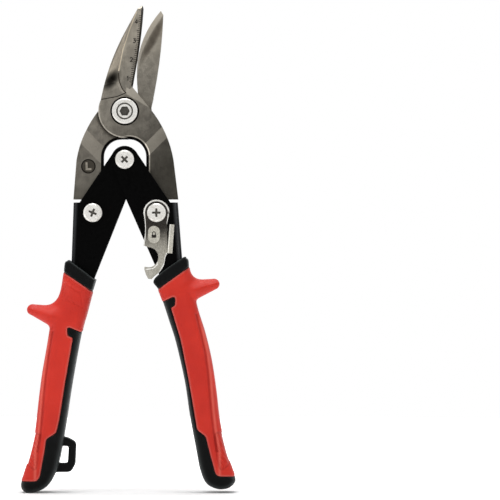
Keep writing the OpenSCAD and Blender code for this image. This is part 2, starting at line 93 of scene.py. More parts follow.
class Shader:
    """One procedural material, with its Principled shader and short names for the nodes it needs."""

    def __init__(self, name, **inputs):
        self.material = bpy.data.materials.new(name)
        self.material.use_nodes = True
        self.tree = self.material.node_tree
        self.surface = self.tree.nodes["Principled BSDF"]
        for socket, value in inputs.items():
            self.surface.inputs[socket.replace("_", " ")].default_value = value
        self.place = self.add("ShaderNodeTexCoord").outputs["Object"]

    def add(self, kind, **settings):
        """A new node with its settings."""
        node = self.tree.nodes.new(kind)
        for name, value in settings.items():
            setattr(node, name, value)
        return node

    def link(self, source, socket):
        """Feeds a socket from another node's output, or with a plain value."""
        if isinstance(source, bpy.types.NodeSocket):
            self.tree.links.new(source, socket)
        else:
            socket.default_value = source

    def noise(self, scale, detail=4, roughness=0.55, stretch=(1, 1, 1), turn=0.0):
        """Noise with scale features per millimetre, stretched along the axes after a turn about Y."""
        mapping = self.add("ShaderNodeMapping")
        mapping.inputs["Scale"].default_value = [s * scale / MM for s in stretch]
        mapping.inputs["Rotation"].default_value = (0, turn, 0)
        self.link(self.place, mapping.inputs["Vector"])
        node = self.add("ShaderNodeTexNoise")
        node.inputs["Scale"].default_value = 1
        node.inputs["Detail"].default_value = detail
        node.inputs["Roughness"].default_value = roughness
        self.link(mapping.outputs["Vector"], node.inputs["Vector"])
        return node.outputs["Fac"]

    def cells(self, scale):
        """Distance to the nearest of scale scattered points per millimetre."""
        node = self.add("ShaderNodeTexVoronoi")
        node.inputs["Scale"].default_value = scale / MM
        self.link(self.place, node.inputs["Vector"])
        return node.outputs["Distance"]

    def math(self, operation, a, b=0.0):
        """The result of an operation on one or two values."""
        node = self.add("ShaderNodeMath", operation=operation)
        for socket, value in zip(node.inputs, (a, b)):
            self.link(value, socket)
        return node.outputs[0]

    def times(self, first, *others):
        """The product of shares: 1 only where all of them are 1."""
        for other in others:
            first = self.math("MULTIPLY", first, other)
        return first

    def most(self, first, *others):
        """The greatest of shares: 1 where any of them is 1."""
        for other in others:
            first = self.math("MAXIMUM", first, other)
        return first

    def spread(self, value, low, high, to_low=0.0, to_high=1.0):
        """value mapped smoothly from low..high to to_low..to_high, held at the ends."""
        node = self.add("ShaderNodeMapRange", interpolation_type="SMOOTHSTEP")
        for socket, number in zip(node.inputs, (value, low, high, to_low, to_high)):
            self.link(number, socket)
        return node.outputs["Result"]

    def mix(self, share, first, second):
        """Colour from first at share 0 to second at share 1."""
        node = self.add("ShaderNodeMix", data_type="RGBA")
        colours = [s for s in node.inputs if s.type == "RGBA"]
        self.link(share, node.inputs["Factor"])
        for socket, colour in zip(colours, (first, second)):
            self.link(colour, socket)
        return next(s for s in node.outputs if s.type == "RGBA")

    def offset(self, centre):
        """The vector from a point of the frame to the shaded place."""
        node = self.add("ShaderNodeVectorMath", operation="SUBTRACT")
        self.link(self.place, node.inputs[0])
        node.inputs[1].default_value = centre
        return node.outputs["Vector"]

    def length(self, vector, flatten=(1, 0, 1)):
        """The vector's length in millimetres, with the axes weighted by flatten."""
        node = self.add("ShaderNodeVectorMath", operation="MULTIPLY")
        self.link(vector, node.inputs[0])
        node.inputs[1].default_value = [f / MM for f in flatten]
        size = self.add("ShaderNodeVectorMath", operation="LENGTH")
        self.link(node.outputs["Vector"], size.inputs[0])
        return size.outputs["Value"]

    def along(self, vector, direction):
        """How far the vector reaches along a direction, in millimetres."""
        node = self.add("ShaderNodeVectorMath", operation="DOT_PRODUCT")
        self.link(vector, node.inputs[0])
        node.inputs[1].default_value = [d / MM for d in direction]
        return node.outputs["Value"]

    def band(self, value, low, high, soft):
        """1 where the value lies between low and high, fading out over soft on each side."""
        return self.times(
            self.spread(value, low - soft, low + soft),
            self.spread(value, high - soft, high + soft, 1, 0))

    def depth(self):
        """How far behind the main pivot's middle plane the shaded place lies, in millimetres."""
        return self.along(self.offset(PIVOT), (0, 1, 0))

    def spot(self, centre, direction, length, width):
        """1 at a point of the XZ plane, fading to 0 at the edge of an ellipse that lies along a direction."""
        offset = self.offset(place(centre[0], 0, centre[1]))
        across, up = Vector(direction).normalized()
        squares = []
        for way, size in (((across, 0, up), length), ((-up, 0, across), width)):
            share = self.math("DIVIDE", self.along(offset, way), size / 2)
            squares.append(self.math("POWER", share, 2))
        return self.spread(self.math("ADD", *squares), 0, 1, 1, 0)

    def stroke(self, line, width):
        """1 along a line of (x, z) points, seen from the front, and 0 away from it."""
        stretches = []
        for start, end in zip(line[:-1], line[1:]):
            start, end = Vector(start), Vector(end)
            middle, run = (start + end) / 2, end - start
            across, up = run.normalized()
            offset = self.offset(place(middle.x, 0, middle.y))
            beside = self.band(self.along(offset, (-up, 0, across)), -width / 2, width / 2, 0.12)
            within = self.band(self.along(offset, (across, 0, up)), -run.length / 2, run.length / 2, 0.15)
            stretches.append(self.times(beside, within))
        return self.most(*stretches)

    def arch_distance(self):
        """How far outside the arch over the centre pivot the shaded place lies, in millimetres."""
        offset = self.offset(CENTRE_PIN)
        beside = self.math("ABSOLUTE", self.along(offset, (1, 0, 0)))
        beyond = self.add("ShaderNodeCombineXYZ")
        for axis, reach, inner in (("X", beside, ARCH_HALF - ARCH_CORNER),
                                   ("Z", self.along(offset, (0, 0, 1)), ARCH_TOP - ARCH_CORNER)):
            self.link(self.math("MAXIMUM", self.math("SUBTRACT", reach, inner), 0), beyond.inputs[axis])
        size = self.add("ShaderNodeVectorMath", operation="LENGTH")
        self.link(beyond.outputs["Vector"], size.inputs[0])
        return self.math("SUBTRACT", size.outputs["Value"], ARCH_CORNER)

    def facing(self, direction):
        """How squarely the surface faces a direction of the frame, from -1 to 1."""
        node = self.add("ShaderNodeVectorMath", operation="DOT_PRODUCT")
        self.link(self.add("ShaderNodeTexCoord").outputs["Normal"], node.inputs[0])
        node.inputs[1].default_value = direction
        return node.outputs["Value"]

    def stored(self, name):
        """A value stored on the mesh's points."""
        return self.add("ShaderNodeAttribute", attribute_name=name).outputs["Fac"]

    def darken(self, base, *stains):
        """The base colour with stains laid over it, each as (share, colour)."""
        for share, colour in stains:
            base = self.mix(share, base, colour)
        return base

    def colour(self, source):
        """Sets the surface's colour."""
        self.link(source, self.surface.inputs["Base Color"])

    def rough(self, source):
        """Sets the surface's roughness."""
        self.link(source, self.surface.inputs["Roughness"])

    def bump(self, *layers):
        """Layers of (height source, depth in millimetres), one after another."""
        below = None
        for height, depth in layers:
            node = self.add("ShaderNodeBump")
            node.inputs["Distance"].default_value = depth * MM
            self.link(height, node.inputs["Height"])
            if below is not None:
                self.link(below, node.inputs["Normal"])
            below = node.outputs["Normal"]
        self.link(below, self.surface.inputs["Normal"])


def rgb(red, green, blue):
    """A linear colour from the 0 to 255 values of a display colour."""
    values = [v / 255 for v in (red, green, blue)]
    return [v / 12.92 if v <= 0.04045 else ((v + 0.055) / 1.055) ** 2.4 for v in values] + [1]


# ---------- materials ----------

# Half the thickness of the jaws' tails
TAIL_FACE = 2.8
# The arch round the centre pivot: half its width, its height above the pivot and its corners' radius
ARCH_HALF, ARCH_TOP, ARCH_CORNER = 11.1, 10.6, 9
# Where the painted shade on the chamfer round the arch starts and ends, outwards from the arch
ARCH_SHADE = (-0.3, 1.45)
# Inner and outer radii of the black ring round the bolt's head, of the painted highlight on the boss's edge
# and of the boss's painted shadow
SINK_RING = (6.6, 7.5)
BOSS_HIGHLIGHT = (13.25, 13.9)
BOSS_SHADOW = (13.8, 16.4)
# Lines on the front jaw, as (x, z) points: the blade's ridge, which gets a painted highlight, and the blade's
# root and the hub's upper edge, which get painted shade
RIDGE = [(-3.2, 21), (-1, 32), (2.4, 42.4), (6.2, 52)]
BLADE_ROOT = [(-3.4, 20), (-2.9, 15.5), (-1.2, 11.4), (0.8, 9.3)]
HUB_EDGE = [(-12.4, 6.1), (-4, 7.6), (0.6, 9.6)]
# The direction mark on the back jaw: its middle, its radius and how far the letter reaches from the middle
MARK_AT = (-19.1, -28.7)
MARK_R = 3.8
LETTER_R = 3


def jaw_steel(name, turn, fall, depth_of_fall):
    """Ground tool steel: warm grey, with grinding lines, stains and small pits.

    It has painted light on the blade and painted shade towards the end of the tail, which lies along the
    direction
    fall: depth_of_fall says how dark the painted shade gets there. turn is the angle of the grinding lines."""
    steel = Shader(name, Metallic=1.0, Anisotropic=0.3)
    lines = steel.noise(3.2, 3, stretch=(1, 1, 0.04), turn=turn)
    cloud = steel.spread(steel.noise(0.09, 5), 0.3, 0.7)
    pits = steel.spread(steel.noise(1.6, 2), 0.69, 0.75)
    down = steel.along(steel.offset(PIVOT), fall)
    base = steel.darken(
        steel.mix(cloud, rgb(148, 142, 131), rgb(166, 160, 148)),
        (steel.spread(lines, 0.35, 0.7, 0, 0.25), rgb(182, 175, 164)),
        # Painted light on the blade, then painted shade towards the end of the tail
        (steel.spread(down, -32, -8, 0.4, 0), rgb(216, 206, 188)),
        (steel.spread(down, -26, 50, 0, depth_of_fall), rgb(44, 42, 37)),
        (steel.times(pits, 0.5), rgb(62, 56, 50)),
        # Painted shade on the chamfer round the arch
        (steel.band(steel.arch_distance(), *ARCH_SHADE, 0.1), rgb(12, 11, 10)))
    steel.rough(steel.spread(steel.noise(0.3, 5), 0.3, 0.7, 0.28, 0.4))
    steel.bump((lines, 0.02), (steel.noise(1.1, 4), 0.03))
    return steel, base


def front_steel():
    """The front jaw's steel: black round the bolt, painted shade along the cutting edge, on the blade's
    bevel, in the hollow at the blade's root and along the blade's root and the hub's edge, and painted
    highlights on its edges and ridge.
    """
    steel, base = jaw_steel("jaw_steel_front", -0.22, (1, 0, -0.8), 0.85)
    reach = steel.length(steel.offset(PIVOT))
    up = steel.along(steel.offset(PIVOT), (0, 0, 1))
    beside = steel.along(steel.offset(PIVOT), (1, 0, 0))
    # Painted highlight on the boss's lower left edge
    boss_highlight = steel.times(
        steel.band(reach, *BOSS_HIGHLIGHT, 0.1),
        steel.spread(beside, -1, 2, 0.85, 0),
        steel.spread(up, 1, 4, 1, 0))
    # Painted highlight on the edge just outside the arch's painted shade
    arch_highlight = steel.times(
        steel.band(steel.arch_distance(), ARCH_SHADE[1], ARCH_SHADE[1] + 0.6, 0.1),
        steel.spread(beside, -1, 2, 0, 0.75))
    # Painted shade on the faces that turn to the right, above the hub
    cutting = steel.times(steel.spread(steel.facing((1, 0, 0)), 0.5, 0.8), steel.spread(up, 11, 13))
    # Painted shade on the blade's bevel, which turns to the left
    bevel = steel.times(steel.spread(steel.facing((-1, 0, 0)), 0.12, 0.35), steel.spread(up, 14, 24), 0.75)
    # Painted shade in the hollow at the blade's root
    scoop = steel.spot((-7.2, 16.4), (1, 1.2), 16, 9)
    steel.colour(steel.darken(
        base,
        (bevel, rgb(112, 104, 92)),
        (scoop, rgb(20, 18, 15)),
        (boss_highlight, rgb(226, 218, 204)),
        (arch_highlight, rgb(216, 208, 194)),
        # A painted highlight along the ridge, and painted shade along the blade's root and the hub's upper
        # edge
        (steel.times(steel.stroke(RIDGE, 0.6), 0.8), rgb(248, 232, 206)),
        (steel.stroke(BLADE_ROOT, 0.5), rgb(60, 54, 47)),
        (steel.stroke(HUB_EDGE, 0.5), rgb(30, 27, 24)),
        (steel.band(reach, *SINK_RING, 0.1), rgb(20, 17, 15)),
        (cutting, rgb(40, 36, 33))))
    return steel.material


def back_steel():
    """The back jaw's steel: a dark sunk disc round the direction mark, a painted shadow under the front jaw's
    boss and browner along the blade's bevel."""
    steel, base = jaw_steel("jaw_steel_back", 0.3, (0.3, 0, -0.8), 0.7)
    reach = steel.length(steel.offset(PIVOT))
    below = steel.spread(steel.along(steel.offset(PIVOT), (0, 0, 1)), -1, 4, 1, 0)
    # Painted shadow of the front jaw's boss
    contact_shadow = steel.times(steel.spread(reach, *BOSS_SHADOW, 0.9, 0), below)
    radius = steel.length(steel.offset(place(MARK_AT[0], 0, MARK_AT[1])))
    sunk = steel.band(steel.depth(), 0.15 - TAIL_FACE, 1 - TAIL_FACE, 0.08)
    disc = steel.times(steel.spread(radius, MARK_R, MARK_R + 0.2, 1, 0), sunk)
    letter = steel.times(
        steel.spread(radius, LETTER_R, LETTER_R + 0.2, 1, 0),
        steel.spread(steel.depth(), -TAIL_FACE, 0.15 - TAIL_FACE, 1, 0))
    under_bevel = steel.spot((14.6, 38), (1, 1.9), 34, 5.5)
    steel.colour(steel.darken(
        base,
        (steel.times(under_bevel, 0.75), rgb(74, 64, 52)),
        (contact_shadow, rgb(30, 27, 24)),
        (disc, rgb(84, 79, 71)),
        (steel.band(radius, MARK_R - 0.6, MARK_R, 0.12), rgb(30, 27, 24)),
        (letter, rgb(176, 168, 154))))
    return steel.material


# Waves of the turned rings, in radians per millimetre
TURNED_RINGS = 14.0


def plated(name, centre, front, recess_r):
    """Bright zinc plate: turned rings round the axis, stains, painted shade on the sides, and painted shade
    in the cuts within recess_r of the axis behind the face at the depth front."""
    zinc = Shader(name, Metallic=0.3)
    radius = zinc.length(zinc.offset(centre))
    rings = zinc.math("SINE", zinc.times(radius, TURNED_RINGS))
    stain = zinc.noise(0.35, 5)
    base = zinc.mix(zinc.spread(stain, 0.35, 0.75), rgb(238, 236, 231), rgb(212, 209, 202))
    # Painted shade in the cuts in the head
    sunk = zinc.band(zinc.depth(), front + 0.3, front + 3, 0.12)
    recess = zinc.times(sunk, zinc.spread(radius, recess_r, recess_r + 0.2, 1, 0))
    # Painted shade on the faces that turn away from the front
    away = zinc.spread(zinc.facing((0, -1, 0)), 0.2, 0.8, 0.75, 0)
    zinc.colour(zinc.darken(base, (away, rgb(150, 147, 140)), (recess, rgb(96, 93, 86))))
    zinc.rough(zinc.spread(stain, 0.3, 0.7, 0.22, 0.34))
    zinc.bump((rings, 0.006), (zinc.noise(1.1, 3), 0.01))
    return zinc.material


# The arms' outer bends, which get painted highlights: a point on each, as (x, z) from the main pivot, and the
# way inwards
ARM_BENDS = (((-26.7, -49), (1, 0, -0.05)), ((27.1, -49), (-1, 0, -0.08)))


def arm_paint():
    """Satin black powder paint: a faint orange-peel skin, a few dusty scuffs, and painted highlights on the
    sides and on the bends.
    """
    paint = Shader("arm_paint", Specular_IOR_Level=0.04)
    scuff = paint.spread(paint.noise(0.35, 6, 0.65, stretch=(1, 1, 0.3)), 0.62, 0.85)
    # Painted highlights on the faces that turn sideways, and on the outer bends below the jaws' tails
    side = paint.math("ABSOLUTE", paint.facing((1, 0, 0)))
    below = paint.spread(paint.along(paint.offset(PIVOT), (0, 0, 1)), -48, -46.5, 1, 0)
    bends = [paint.spread(paint.along(paint.offset(place(x, 0, z)), inwards), 0, 2.6, 0.9, 0)
             for (x, z), inwards in ARM_BENDS]
    paint.colour(paint.darken(
        paint.mix(scuff, rgb(1, 1, 1), rgb(5, 5, 5)),
        (paint.spread(side, 0.3, 0.8), rgb(44, 44, 46)),
        (paint.times(paint.most(*bends), below), rgb(72, 73, 75))))
    paint.rough(paint.spread(paint.noise(0.6, 5), 0.3, 0.7, 0.34, 0.48))
    paint.bump((paint.noise(1.3, 3), 0.03), (paint.noise(6, 2), 0.006))
    return paint.material


def wire_steel():
    """Dark drawn spring wire with fine scratches along it."""
    wire = Shader("wire_steel", Metallic=1.0)
    wire.colour(wire.mix(wire.noise(0.6, 4), rgb(104, 104, 106), rgb(58, 58, 60)))
    wire.rough(wire.spread(wire.noise(1.5, 3), 0.3, 0.7, 0.3, 0.48))
    wire.bump((wire.noise(3, 3, stretch=(1, 1, 0.2)), 0.02))
    return wire.material


# The painted highlights on the latch plate's edges: the edge of its eye as two radii round the right pin, and
# lines of (x, z) points from that pin
EYE_HIGHLIGHT = (5.95, 6.9)
LATCH_HIGHLIGHTS = (
    ((-6.4, 0), (-5.95, -4), (-5.75, -8), (-5.95, -12.5), (-6.5, -17), (-6.2, -18.1), (-4.4, -18.6)),
    ((6.2, -0.5), (5.9, -3), (5.6, -6)),
    ((0, -23.8), (0.4, -27), (-1.6, -29), (-5.6, -29.6)),
    ((5.3, -21), (4.4, -23.6), (4.2, -26), (1.6, -31), (-1.2, -34)))


def latch_nickel(face, boss):
    """Polished nickel: painted shade on the plate's face, dark by the pin and grey towards the hook, a bright
    boss, and painted highlights on its bends and edges.

    face and boss are the depths of the plate's front and of the raised boss."""
    nickel = Shader("latch_nickel", Metallic=0.45)
    down = nickel.along(nickel.offset(RIGHT_PIN), (0.15, 0, -1))
    # Painted shade on the plate's front face below the boss: dark near the pin, grey further down
    upper = nickel.spread(down, 7, 18, 1, 0)
    lower = nickel.spread(down, 8, 30, 0.75, 0.25)
    flat = nickel.spread(nickel.depth(), face + 0.06, face + 0.2, 1, 0)
    below_boss = nickel.spread(nickel.depth(), boss + 0.25, boss + 0.45)
    dark = nickel.mix(nickel.noise(0.15, 4), rgb(30, 27, 24), rgb(62, 57, 51))
    bright = nickel.mix(nickel.noise(0.12, 3), rgb(216, 212, 201), rgb(186, 182, 168))
    # Painted highlights on the bends, round the eye and along the plate's edges
    bend_highlight = nickel.spread(nickel.facing((0, -1, 0)), 0.8, 0.97, 1, 0)
    pin = (RIGHT_PIN - PIVOT) / MM
    reach = nickel.length(nickel.offset(RIGHT_PIN))
    eye = nickel.times(nickel.band(reach, *EYE_HIGHLIGHT, 0.1), nickel.spread(down, -0.5, 1.5, 1, 0))
    rim_highlights = [nickel.stroke([(pin.x + x, pin.z + z) for x, z in line], 0.55) for line in LATCH_HIGHLIGHTS]
    nickel.colour(nickel.darken(
        bright,
        (nickel.times(lower, flat, below_boss), rgb(112, 108, 98)),
        (nickel.times(upper, flat, below_boss), dark),
        (bend_highlight, rgb(250, 248, 240)),
        (nickel.most(eye, *rim_highlights), rgb(252, 250, 244))))
    nickel.rough(nickel.spread(nickel.noise(0.8, 5), 0.3, 0.7, 0.2, 0.34))
    nickel.bump((nickel.noise(0.9, 3, stretch=(1, 1, 0.25)), 0.006))
    return nickel.material


def grip_rubber():
    """Soft red overmould: fine mould grain, painted shade in the groove and along the pad's border, and
    painted highlights along the seam's edge and just outside the groove.
    """
    rubber = Shader("grip_rubber", Specular_IOR_Level=0.25, Sheen_Weight=0.06, Sheen_Roughness=0.5)
    tone = rubber.spread(rubber.noise(0.05, 4), 0.3, 0.7)
    base = rubber.mix(tone, rgb(186, 34, 20), rgb(200, 42, 26))
    # Painted highlights along the seam's edge and just outside the groove, and painted shade in the groove
    # and along the pad's border
    rubber.colour(rubber.darken(
        base,
        (rubber.times(rubber.stored("outer"), 0.6), rgb(222, 104, 90)),
        (rubber.times(rubber.stored("edge"), 0.5), rgb(196, 104, 96)),
        (rubber.times(rubber.stored("groove"), 0.5), rgb(140, 22, 14)),
        (rubber.times(rubber.stored("pad"), 0.35), rgb(146, 24, 15))))
    rubber.rough(rubber.spread(rubber.noise(0.4, 5), 0.3, 0.7, 0.48, 0.62))
    rubber.bump((rubber.cells(1.9), 0.03), (rubber.noise(5, 3), 0.015))
    return rubber.material


def grip_plastic():
    """Hard black core: fine spark-eroded grain, greyer where it is rubbed, and painted highlights on its
    rounded edges.
    """
    plastic = Shader("grip_plastic", Specular_IOR_Level=0.1)
    worn = plastic.spread(plastic.noise(0.12, 6), 0.5, 0.8)
    # Painted highlight on the rounded edges, which turn away from the front
    edge_highlight = plastic.spread(plastic.facing((0, -1, 0)), 0.4, 0.95, 0.85, 0)
    plastic.colour(plastic.mix(
        edge_highlight, plastic.mix(worn, rgb(3, 4, 4), rgb(12, 13, 14)), rgb(60, 64, 64)))
    plastic.rough(plastic.spread(plastic.noise(0.5, 5), 0.3, 0.7, 0.4, 0.56))
    plastic.bump((plastic.noise(4, 3), 0.03), (plastic.cells(2.6), 0.015))
    return plastic.material


def engraving():
    """Blackened laser marks, patchy like the real ones."""
    mark = Shader("engraving", Metallic=0.3, Specular_IOR_Level=0.2)
    mark.colour(mark.mix(mark.spread(mark.noise(2.5, 4), 0.45, 0.75), rgb(24, 21, 19), rgb(58, 53, 48)))
    mark.rough(mark.spread(mark.noise(3, 2), 0.3, 0.7, 0.5, 0.7))
    mark.bump((mark.noise(6, 2), 0.01))
    return mark.material


def floor_paper():
    """White paper that glows a little away from the object, like a lit studio sweep."""
    paper = Shader("floor_paper", Specular_IOR_Level=0.0)
    paper.colour(paper.mix(paper.noise(0.004, 3), rgb(250, 250, 250), rgb(246, 246, 246)))
    paper.rough(paper.spread(paper.noise(0.02, 3), 0.3, 0.7, 0.75, 0.9))
    paper.bump((paper.noise(0.5, 3), 0.05))
    away = paper.length(paper.place, (1, 1, 0))
    paper.surface.inputs["Emission Color"].default_value = (1, 1, 1, 1)
    paper.link(paper.spread(away, 90, 190, 0.06, 0.5), paper.surface.inputs["Emission Strength"])
    return paper.material


# ---------- CAD nodes: rounded edges and materials ----------


# The least angle between two faces, in degrees, that is shaded as a sharp edge
CRISP = 10


def crisp_edges():
    """A modifier tree that keeps edges sharp where two faces meet at more than CRISP degrees."""
    tree = bpy.data.node_groups.new("crisp_edges", "GeometryNodeTree")
    for way in ("INPUT", "OUTPUT"):
        tree.interface.new_socket("Geometry", in_out=way, socket_type="NodeSocketGeometry")
    start, end = tree.nodes.new("NodeGroupInput"), tree.nodes.new("NodeGroupOutput")
    angle = tree.nodes.new("GeometryNodeInputMeshEdgeAngle")
    above = tree.nodes.new("FunctionNodeCompare")
    above.operation = "GREATER_THAN"
    above.inputs["B"].default_value = math.radians(CRISP)
    tree.links.new(angle.outputs["Unsigned Angle"], above.inputs["A"])
    sharp = tree.nodes.new("GeometryNodeSetShadeSmooth")
    sharp.domain = "EDGE"
    sharp.inputs["Shade Smooth"].default_value = False
    tree.links.new(above.outputs["Result"], sharp.inputs["Selection"])
    tree.links.new(start.outputs[0], sharp.inputs[0])
    tree.links.new(sharp.outputs[0], end.inputs[0])
    return tree


CRISP_TREE = crisp_edges()


# Points closer than WELD are joined, faces within FLAT_ANGLE degrees of one plane are joined, and edges
# that turn by more than BEVEL_ANGLE degrees are rounded
WELD = 0.002
FLAT_ANGLE = 0.6
BEVEL_ANGLE = 28


def dress(node, material, width, segments=2):
    """Rounds a CAD node's edges by width and gives the node its material."""
    piece = frame["nodes"][node]
    piece.data.materials.clear()
    piece.data.materials.append(material)
    weld = piece.modifiers.new("weld", "WELD")
    weld.merge_threshold = WELD * MM
    flat = piece.modifiers.new("flat", "DECIMATE")
    flat.decimate_type = "DISSOLVE"
    flat.angle_limit = math.radians(FLAT_ANGLE)
    if width:
        edge = piece.modifiers.new("edge", "BEVEL")
        edge.width = width * MM
        edge.segments = segments
        edge.limit_method = "ANGLE"
        edge.angle_limit = math.radians(BEVEL_ANGLE)
        edge.miter_outer = "MITER_ARC"
    shade(piece.data, True)
    crisp = piece.modifiers.new("crisp", "NODES")
    crisp.node_group = CRISP_TREE
    normals = piece.modifiers.new("normals", "WEIGHTED_NORMAL")
    normals.keep_sharp = True
    return piece


# ---------- soft moulded shapes from distance fields ----------


def smooth_loop(points, steps=6):
    """A smooth closed curve through all the points."""
    p = np.array(points, float)
    before, after, beyond = np.roll(p, 1, 0), np.roll(p, -1, 0), np.roll(p, -2, 0)
    pieces = []
    for t in np.arange(steps) / steps:
        pieces.append(0.5 * (2 * p + (after - before) * t
                             + (2 * before - 5 * p + 4 * after - beyond) * t ** 2
                             + (3 * p - before - 3 * after + beyond) * t ** 3))
    return np.stack(pieces, 1).reshape(-1, 2)


def rounded_loop(corners, steps=5):
    """A closed outline whose corners, given as (x, z, radius), are rounded off."""
    loop = []
    count = len(corners)
    for i, (x, z, radius) in enumerate(corners):
        here = np.array((x, z), float)
        arms = [np.array(corners[(i + step) % count][:2], float) - here for step in (-1, 1)]
        units = [arm / np.linalg.norm(arm) for arm in arms]
        half = math.acos(np.clip(units[0] @ units[1], -1, 1)) / 2
        back = min(radius / math.tan(half), *(0.45 * np.linalg.norm(arm) for arm in arms))
        start, end = (here + unit * back for unit in units)
        for t in np.linspace(0, 1, steps):
            loop.append((1 - t) ** 2 * start + 2 * t * (1 - t) * here + t ** 2 * end)
    return np.array(loop)


def distance_to_line(x, z, line):
    """Distance from every grid point to an open line."""
    best = np.full(np.broadcast(x, z).shape, 1e9)
    for (ax, az), (bx, bz) in zip(line[:-1], line[1:]):
        dx, dz = bx - ax, bz - az
        t = np.clip(((x - ax) * dx + (z - az) * dz) / (dx * dx + dz * dz + 1e-12), 0, 1)
        best = np.minimum(best, np.hypot(x - ax - t * dx, z - az - t * dz))
    return best


def distance_to_loop(x, z, loop):
    """Distance to a closed outline, negative inside it."""
    inside = np.zeros(np.broadcast(x, z).shape, bool)
    closed = np.vstack([loop, loop[:1]])
    for (ax, az), (bx, bz) in zip(closed[:-1], closed[1:]):
        if az != bz:
            inside ^= ((az > z) != (bz > z)) & (x < ax + (z - az) * (bx - ax) / (bz - az))
    return np.where(inside, -1, 1) * distance_to_line(x, z, closed)


def smooth_least(a, b, reach):
    """The lesser of two fields, blended where they differ by less than reach."""
    h = np.clip(0.5 + 0.5 * (b - a) / reach, 0, 1)
    return b + (a - b) * h - reach * h * (1 - h)


def smooth_most(a, b, reach):
    """The greater of two fields, blended where they differ by less than reach."""
    return -smooth_least(-a, -b, reach)


def ramp(value, low, high):
    """0 below low, 1 above high, smooth between."""
    t = np.clip((value - low) / (high - low), 0, 1)
    return t * t * (3 - 2 * t)


def near(gap, width, height=1.0):
    """height where the gap is 0, falling off smoothly over width."""
    return height * np.exp(-(gap / width) ** 2)


def rounded_slab(d, depth, half, radius):
    """Field of an outline's slab with rounded edges: d is the outline's field, depth the |y|."""
    a = d + radius
    b = depth - (half - radius)
    return np.hypot(np.maximum(a, 0), np.maximum(b, 0)) + np.minimum(np.maximum(a, b), 0) - radius


# Step of the grids that the moulded shapes are sampled on
VOXEL = 0.4


def field_mesh(name, field, origin, **stored):
    """The closed mesh where a field sampled on a grid of VOXEL steps is zero.

    stored holds functions of x and z whose values are kept on the mesh's points."""
    grid = openvdb.FloatGrid(10.0)
    grid.copyFromArray(field.astype(np.float64))
    points, _, quads = grid.convertToPolygons(isovalue=0.0)
    places = points * VOXEL + np.array(origin)
    mesh = bpy.data.meshes.new(name)
    mesh.from_pydata([place(*p) for p in places], [], quads.tolist())
    for title, value in stored.items():
        kept = mesh.attributes.new(title, "FLOAT", "POINT")
        kept.data.foreach_set("value", value(places[:, 0], places[:, 2]).astype(np.float32))
    tidy = bmesh.new()
    tidy.from_mesh(mesh)
    bmesh.ops.recalc_face_normals(tidy, faces=tidy.faces)
    tidy.to_mesh(mesh)
    tidy.free()
    shade(mesh, True)
    return scene_object(name, mesh)


# ---------- grips ----------

# Half the grips' thickness, and how much thinner each side gets towards the guard's tip
GRIP_HALF = 10.4
GUARD_THINNING = 4.6
# The rounding of the grips' edges, and of the collars' edges above the cover
GRIP_EDGE = 4.6
COLLAR_EDGE = 1.5
# How far the soft cover stands proud of the core, and half the gap between them along the seam
COVER_PROUD = 0.25
HALF_GAP = 0.1
# How far, and within which depth, the core reaches under the cover along the seam
TONGUE = 1.2
TONGUE_HALF = 5
# Half the lanyard loop's thickness and the rounding of its edges
LOOP_HALF = 2.6
LOOP_EDGE = 1.1
# Cuts in the cover, as (width, depth): the long groove, the pad's border and the label panel's border
GROOVE_CUT = (0.6, 0.8)
PAD_CUT = (0.5, 0.5)
PANEL_CUT = (0.5, 0.4)
PANEL_DEPTH = 0.1
# The pad's ribs
RIB_DEPTH = 0.3
RIB_PITCH = 1.7

